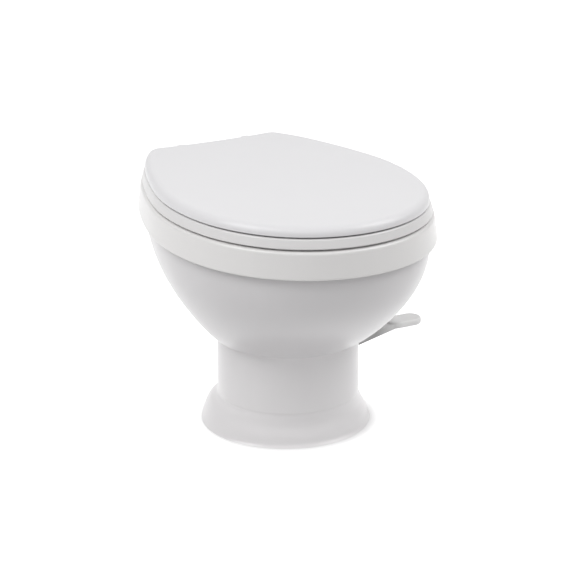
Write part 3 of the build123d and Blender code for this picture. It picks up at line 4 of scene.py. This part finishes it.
import bpy
from mathutils import Matrix, Vector


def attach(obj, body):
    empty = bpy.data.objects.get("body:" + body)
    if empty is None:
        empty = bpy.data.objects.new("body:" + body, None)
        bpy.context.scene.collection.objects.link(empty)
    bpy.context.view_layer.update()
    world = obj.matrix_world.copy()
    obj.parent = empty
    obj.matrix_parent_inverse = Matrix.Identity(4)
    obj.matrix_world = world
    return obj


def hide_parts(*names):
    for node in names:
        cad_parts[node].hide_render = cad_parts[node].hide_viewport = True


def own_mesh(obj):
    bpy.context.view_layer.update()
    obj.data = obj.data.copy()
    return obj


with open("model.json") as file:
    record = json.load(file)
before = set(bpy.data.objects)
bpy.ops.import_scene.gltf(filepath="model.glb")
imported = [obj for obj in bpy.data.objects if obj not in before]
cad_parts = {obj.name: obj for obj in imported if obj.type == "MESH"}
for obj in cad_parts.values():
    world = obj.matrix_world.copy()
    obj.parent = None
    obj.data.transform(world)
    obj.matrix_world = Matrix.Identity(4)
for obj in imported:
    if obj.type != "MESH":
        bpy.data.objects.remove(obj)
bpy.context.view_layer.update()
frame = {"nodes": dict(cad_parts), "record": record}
nodes = frame["nodes"]
scene = bpy.context.scene
scene.view_settings.view_transform = "Standard"

# Camera at the photograph's angle
AZIMUTH = math.radians(28.02)
ELEVATION = math.radians(19.82)
DISTANCE = 3.006
TARGET = Vector((0.0032, 0.0, 0.1916))
FOCAL_PIXELS = 2149.5
FRAME_PIXELS = 580
SENSOR_MM = 36.0

# Three soft lamps above the object, all at the bowl: name, place, size and power
LAMP_AIM = Vector((0, 0, 0.2))
LAMPS = (
    ("front_lamp", (-0.8, -1.5, 2.3), 1.5, 7.5),
    ("left_lamp", (-1.9, 0.0, 2.3), 1.6, 32.0),
    ("right_lamp", (1.7, -1.0, 2.3), 1.6, 28.5),
)

# World: a white background to look at, and a weaker even light on the object
SEEN_STRENGTH = 1.0
AMBIENT_STRENGTH = 0.29

# Floor: it glows where it is seen, less beside the foot, so that only the object's shadow shows there
FLOOR_REACH = 6.0
FLOOR_GREY = 0.74
FLOOR_ROUGHNESS = 0.9
SHADOW_START = 0.115
SHADOW_END = 0.142
GLOW_IN_SHADOW = 0.2
GLOW_BEYOND = 0.95

# The part of a noise's range that is spread over a whole colour or gloss range
NOISE_LOW = 0.3
NOISE_HIGH = 0.7
NOISE_ROUGHNESS = 0.55

# Moulded plastic: cloudy shading, uneven gloss, a fine grain and a faint wave in the skin
CLOUD_NOISE = (9.0, 3.0)
GLOSS_NOISE = (38.0, 5.0)
GRAIN_NOISE = (1400.0, 2.0)
GRAIN_DEPTH = 0.00002
WAVE_NOISE = (26.0, 1.0)
WAVE_DEPTH = 0.0003
SKIN_STRENGTH = 0.05
COAT_WEIGHT = 0.25
COAT_ROUGHNESS = 0.28
PLASTIC_IOR = 1.5

# Rubber: pale bloom, dull gloss, small pits and wide dents
BLOOM_NOISE = (55.0, 6.0)
BLOOM_DARK_SHARE = 0.85
BLOOM_PALE_SHARE = 1.25
BLOOM_LIFT = 0.01
DULL_NOISE = (90.0, 4.0)
PIT_NOISE = (2600.0, 3.0)
PIT_STRENGTH = 0.25
PIT_DEPTH = 0.00003
DENT_NOISE = (240.0, 3.0)
DENT_STRENGTH = 0.1
DENT_DEPTH = 0.0001
RUBBER_SPECULAR = 0.35

# Metal: lines left by the tool, and blotches in the gloss
LINE_DETAIL = 3.0
LINE_STRENGTH = 0.2
LINE_DEPTH = 0.00001
LINE_DARK_SHARE = 0.88
LINE_PALE_SHARE = 1.08
BLOTCH_NOISE = (130.0, 5.0)
LINE_SCALE = 700.0
SPRING_LINE_SCALE = 900.0
SCREEN_LINE_SCALE = 2400.0

# Painted shade: the pedal's arm is darker towards its root, where it lies in shadow: two places along X and
# the share of the colour at the first
ARM_DEEP_SHADE_PLACE = 0.145
ARM_SHADE_END_PLACE = 0.188
ARM_SHADE_SHARE = 0.42

WHITE = (0.82, 0.82, 0.815)
STEADY = (1, 1, 1)


def aimed(axes, place):
    """World matrix from three axes and a place."""
    turned = Matrix(axes).transposed().to_4x4()
    turned.translation = place
    return turned


def photo_camera():
    """Camera that sees the object as the photograph does."""
    back = Vector((
        -math.sin(AZIMUTH) * math.cos(ELEVATION),
        -math.cos(AZIMUTH) * math.cos(ELEVATION),
        math.sin(ELEVATION),
    ))
    right = Vector((math.cos(AZIMUTH), -math.sin(AZIMUTH), 0.0))
    up = back.cross(right)
    data = bpy.data.cameras.new("photo_camera")
    data.sensor_width = SENSOR_MM
    data.lens = FOCAL_PIXELS / FRAME_PIXELS * SENSOR_MM
    camera = bpy.data.objects.new("photo_camera", data)
    scene.collection.objects.link(camera)
    camera.matrix_world = aimed((right, up, back), TARGET + back * DISTANCE)
    return camera


def area_lamp(name, place, size, power):
    """Soft square lamp that looks from a place at the bowl."""
    data = bpy.data.lights.new(name, "AREA")
    data.size = size
    data.energy = power
    lamp = bpy.data.objects.new(name, data)
    scene.collection.objects.link(lamp)
    lamp.location = place
    lamp.rotation_euler = (LAMP_AIM - Vector(place)).to_track_quat("-Z", "Y").to_euler()


def grey(level):
    """Opaque grey."""
    return level, level, level, 1


def calculation(tree, operation, first, second):
    """Two values taken together by a math node."""
    node = tree.nodes.new("ShaderNodeMath")
    node.operation = operation
    tree.links.new(first, node.inputs[0])
    tree.links.new(second, node.inputs[1])
    return node.outputs[0]


def seen_rays(tree):
    """1 for rays that show the background: camera, glossy and transmission rays."""
    path = tree.nodes.new("ShaderNodeLightPath")
    value = path.outputs["Is Camera Ray"]
    for kind in ("Is Glossy Ray", "Is Transmission Ray"):
        value = calculation(tree, "MAXIMUM", value, path.outputs[kind])
    return value


def studio():
    """White background whose light on the object is weaker than it looks."""
    world = bpy.data.worlds.new("studio")
    scene.world = world
    world.use_nodes = True
    tree = world.node_tree
    tree.nodes.clear()
    out = tree.nodes.new("ShaderNodeOutputWorld")
    either = tree.nodes.new("ShaderNodeMixShader")
    tree.links.new(seen_rays(tree), either.inputs[0])
    for place, strength in ((1, AMBIENT_STRENGTH), (2, SEEN_STRENGTH)):
        background = tree.nodes.new("ShaderNodeBackground")
        background.inputs["Color"].default_value = grey(1)
        background.inputs["Strength"].default_value = strength
        tree.links.new(background.outputs[0], either.inputs[place])
    tree.links.new(either.outputs[0], out.inputs["Surface"])


def new_material(name):
    """Empty material with its node tree and its shader."""
    material = bpy.data.materials.new(name)
    material.use_nodes = True
    tree = material.node_tree
    tree.nodes.clear()
    out = tree.nodes.new("ShaderNodeOutputMaterial")
    shader = tree.nodes.new("ShaderNodeBsdfPrincipled")
    tree.links.new(shader.outputs["BSDF"], out.inputs["Surface"])
    return material, tree, shader


def own_place(tree):
    """The object's own coordinates."""
    return tree.nodes.new("ShaderNodeTexCoord").outputs["Object"]


def noise(tree, scale, detail, stretch=STEADY):
    """Noise over the object's own coordinates, stretched along its axes."""
    mapping = tree.nodes.new("ShaderNodeMapping")
    mapping.inputs["Scale"].default_value = stretch
    texture = tree.nodes.new("ShaderNodeTexNoise")
    texture.inputs["Scale"].default_value = scale
    texture.inputs["Detail"].default_value = detail
    texture.inputs["Roughness"].default_value = NOISE_ROUGHNESS
    tree.links.new(own_place(tree), mapping.inputs["Vector"])
    tree.links.new(mapping.outputs["Vector"], texture.inputs["Vector"])
    return texture.outputs["Fac"]


def ramp(tree, value, low, high):
    """Colour between two ends, by the value of a noise."""
    node = tree.nodes.new("ShaderNodeValToRGB")
    ends = node.color_ramp.elements
    for end, position, colour in ((ends[0], NOISE_LOW, low), (ends[1], NOISE_HIGH, high)):
        end.position = position
        end.color = (*colour, 1)
    tree.links.new(value, node.inputs["Fac"])
    return node.outputs["Color"]


def moved_range(tree, value, old, new):
    """Value moved from one range to another."""
    node = tree.nodes.new("ShaderNodeMapRange")
    for kind, (low, high) in (("From", old), ("To", new)):
        node.inputs[f"{kind} Min"].default_value = low
        node.inputs[f"{kind} Max"].default_value = high
    tree.links.new(value, node.inputs["Value"])
    return node.outputs["Result"]


def uneven_gloss(tree, shader, pattern, rough):
    """Roughness that wanders between two ends."""
    value = moved_range(tree, noise(tree, *pattern), (NOISE_LOW, NOISE_HIGH), rough)
    tree.links.new(value, shader.inputs["Roughness"])


def bumps(tree, shader, layers):
    """Chained bump nodes from (height, strength, depth in metres) layers."""
    last = None
    for height, strength, depth in layers:
        node = tree.nodes.new("ShaderNodeBump")
        node.inputs["Strength"].default_value = strength
        node.inputs["Distance"].default_value = depth
        tree.links.new(height, node.inputs["Height"])
        if last:
            tree.links.new(last, node.inputs["Normal"])
        last = node.outputs["Normal"]
    tree.links.new(last, shader.inputs["Normal"])


def moulded(name, colour, tint, rough, coat=COAT_WEIGHT):
    """Moulded plastic: faint flow shading, an orange-peel skin and uneven gloss."""
    material, tree, shader = new_material(name)
    low = tuple(max(0.0, c - tint) for c in colour)
    high = tuple(min(1.0, c + tint) for c in colour)
    tree.links.new(ramp(tree, noise(tree, *CLOUD_NOISE), low, high), shader.inputs["Base Color"])
    uneven_gloss(tree, shader, GLOSS_NOISE, rough)
    bumps(tree, shader, [
        (noise(tree, *GRAIN_NOISE), SKIN_STRENGTH, GRAIN_DEPTH),
        (noise(tree, *WAVE_NOISE), SKIN_STRENGTH, WAVE_DEPTH),
    ])
    shader.inputs["Coat Weight"].default_value = coat
    shader.inputs["Coat Roughness"].default_value = COAT_ROUGHNESS
    shader.inputs["IOR"].default_value = PLASTIC_IOR
    return material


def rubber(name, colour, rough):
    """Moulded rubber: dull, finely pitted, with pale bloom."""
    material, tree, shader = new_material(name)
    low = tuple(c * BLOOM_DARK_SHARE for c in colour)
    high = tuple(min(1.0, c * BLOOM_PALE_SHARE + BLOOM_LIFT) for c in colour)
    tree.links.new(ramp(tree, noise(tree, *BLOOM_NOISE), low, high), shader.inputs["Base Color"])
    uneven_gloss(tree, shader, DULL_NOISE, rough)
    bumps(tree, shader, [
        (noise(tree, *PIT_NOISE), PIT_STRENGTH, PIT_DEPTH),
        (noise(tree, *DENT_NOISE), DENT_STRENGTH, DENT_DEPTH),
    ])
    shader.inputs["Specular IOR Level"].default_value = RUBBER_SPECULAR
    return material


def metal(name, colour, rough, stretch, scale=LINE_SCALE):
    """Worked metal: fine lines along one way, with blotches in its gloss."""
    material, tree, shader = new_material(name)
    low = tuple(c * LINE_DARK_SHARE for c in colour)
    high = tuple(min(1.0, c * LINE_PALE_SHARE) for c in colour)
    lines = noise(tree, scale, LINE_DETAIL, stretch)
    tree.links.new(ramp(tree, lines, low, high), shader.inputs["Base Color"])
    uneven_gloss(tree, shader, BLOTCH_NOISE, rough)
    bumps(tree, shader, [(lines, LINE_STRENGTH, LINE_DEPTH)])
    shader.inputs["Metallic"].default_value = 1.0
    return material


def paint_shade_on_the_arm(material):
    """Painted shade: base colour that falls to a share of itself towards the root of the pedal's arm, where
    the arm is in shadow.
    """
    tree = material.node_tree
    colour_input = tree.nodes["Principled BSDF"].inputs["Base Color"]
    colour = colour_input.links[0].from_socket
    parts = tree.nodes.new("ShaderNodeSeparateXYZ")
    tree.links.new(own_place(tree), parts.inputs[0])
    arm = (ARM_DEEP_SHADE_PLACE, ARM_SHADE_END_PLACE)
    share = moved_range(tree, parts.outputs["X"], arm, (ARM_SHADE_SHARE, 1.0))
    scaled = tree.nodes.new("ShaderNodeVectorMath")
    scaled.operation = "SCALE"
    tree.links.new(colour, scaled.inputs[0])
    tree.links.new(share, scaled.inputs["Scale"])
    tree.links.new(scaled.outputs["Vector"], colour_input)


# Plastics: colour, half the spread of its shading, gloss range, and the coat where it is not the usual one.
# Rubbers: colour and gloss range. Metals: colour, gloss range, stretch of the lines, and their scale.
FINISHES = {
    "lid_white": (moulded, (0.845, 0.838, 0.853), 0.004, (0.29, 0.35), 0.1),
    "seat_white": (moulded, (0.828, 0.818, 0.816), 0.004, (0.3, 0.38), 0.12),
    "rim_white": (moulded, (0.855, 0.843, 0.836), 0.004, (0.29, 0.35)),
    # The bowl's white is darker than the other whites: painted shade for the bowl, which faces down beneath
    # the band
    "bowl_white": (moulded, (0.725, 0.71, 0.72), 0.004, (0.29, 0.34)),
    "pedestal_white": (moulded, (0.868, 0.851, 0.858), 0.004, (0.29, 0.34)),
    "pedal_white": (moulded, (0.95, 0.945, 0.94), 0.005, (0.29, 0.36)),
    "hinge_white": (moulded, WHITE, 0.01, (0.3, 0.42)),
    "cover_white": (moulded, WHITE, 0.01, (0.3, 0.42)),
    "bumper_rubber": (rubber, (0.66, 0.66, 0.65), (0.6, 0.8)),
    "seal_rubber": (rubber, (0.02, 0.02, 0.021), (0.6, 0.8)),
    "housing_plastic": (moulded, (0.035, 0.035, 0.038), 0.008, (0.4, 0.55), 0.0),
    "mechanism_plastic": (moulded, (0.55, 0.55, 0.53), 0.02, (0.4, 0.55), 0.0),
    "gear_plastic": (moulded, (0.70, 0.68, 0.61), 0.02, (0.38, 0.5), 0.0),
    "ball_plastic": (moulded, (0.62, 0.62, 0.61), 0.015, (0.28, 0.34)),
    "steel": (metal, (0.56, 0.56, 0.57), (0.22, 0.38), (1, 1, 14)),
    "spring_steel": (metal, (0.36, 0.36, 0.37), (0.25, 0.4), (6, 6, 6), SPRING_LINE_SCALE),
    "valve_plastic": (moulded, (0.02, 0.02, 0.022), 0.006, (0.35, 0.5), 0.0),
    "nipple_brass": (metal, (0.62, 0.44, 0.19), (0.2, 0.36), (1, 14, 1)),
    "screen_steel": (metal, (0.5, 0.5, 0.51), (0.3, 0.5), STEADY, SCREEN_LINE_SCALE),
    "hose_rubber": (rubber, (0.022, 0.022, 0.024), (0.5, 0.68)),
    "breaker_plastic": (moulded, (0.70, 0.70, 0.68), 0.012, (0.3, 0.45)),
}


def give_finishes():
    """Each CAD node gets the material of its slot in the record."""
    materials = {name: make(name, *values) for name, (make, *values) in FINISHES.items()}
    # Painted shade on the root of the pedal's arm
    paint_shade_on_the_arm(materials["pedal_white"])
    for entry in frame["record"]["subparts"]:
        node = nodes[entry["node"]]
        material = materials[entry["material_slot"]]
        if node.data.materials:
            for index in range(len(node.data.materials)):
                node.material_slots[index].material = material
        else:
            node.data.materials.append(material)


def floor_white():
    """Pale floor that is seen as white, but for the object's shadow beside its foot."""
    material, tree, shader = new_material("floor_white")
    shader.inputs["Base Color"].default_value = grey(FLOOR_GREY)
    shader.inputs["Roughness"].default_value = FLOOR_ROUGHNESS
    reach = tree.nodes.new("ShaderNodeVectorMath")
    reach.operation = "LENGTH"
    tree.links.new(own_place(tree), reach.inputs[0])
    shadow = (SHADOW_START, SHADOW_END)
    level = moved_range(tree, reach.outputs["Value"], shadow, (GLOW_IN_SHADOW, GLOW_BEYOND))
    glow = tree.nodes.new("ShaderNodeEmission")
    glow.inputs["Color"].default_value = grey(1)
    tree.links.new(calculation(tree, "MULTIPLY", level, seen_rays(tree)), glow.inputs["Strength"])
    both = tree.nodes.new("ShaderNodeAddShader")
    tree.links.new(shader.outputs[0], both.inputs[0])
    tree.links.new(glow.outputs[0], both.inputs[1])
    tree.links.new(both.outputs[0], tree.nodes["Material Output"].inputs["Surface"])
    material.cycles.emission_sampling = "NONE"
    return material


scene.camera = photo_camera()
for lamp in LAMPS:
    area_lamp(*lamp)
studio()
give_finishes()

# The spring of the valve stem is copied into an object with a mesh of its own, carried by the base
rigid_spring = nodes["stem_spring"]
spring = bpy.data.objects.new("stem_spring_coil", rigid_spring.data.copy())
scene.collection.objects.link(spring)
spring.matrix_world = rigid_spring.matrix_world.copy()
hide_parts("stem_spring")
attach(spring, "base")
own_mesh(spring)

floor_mesh = bpy.data.meshes.new("floor")
floor_corners = [(x * FLOOR_REACH, y * FLOOR_REACH, 0) for x, y in ((-1, -1), (1, -1), (1, 1), (-1, 1))]
floor_mesh.from_pydata(floor_corners, [], [(0, 1, 2, 3)])
floor = bpy.data.objects.new("floor", floor_mesh)
scene.collection.objects.link(floor)
floor.data.materials.append(floor_white())
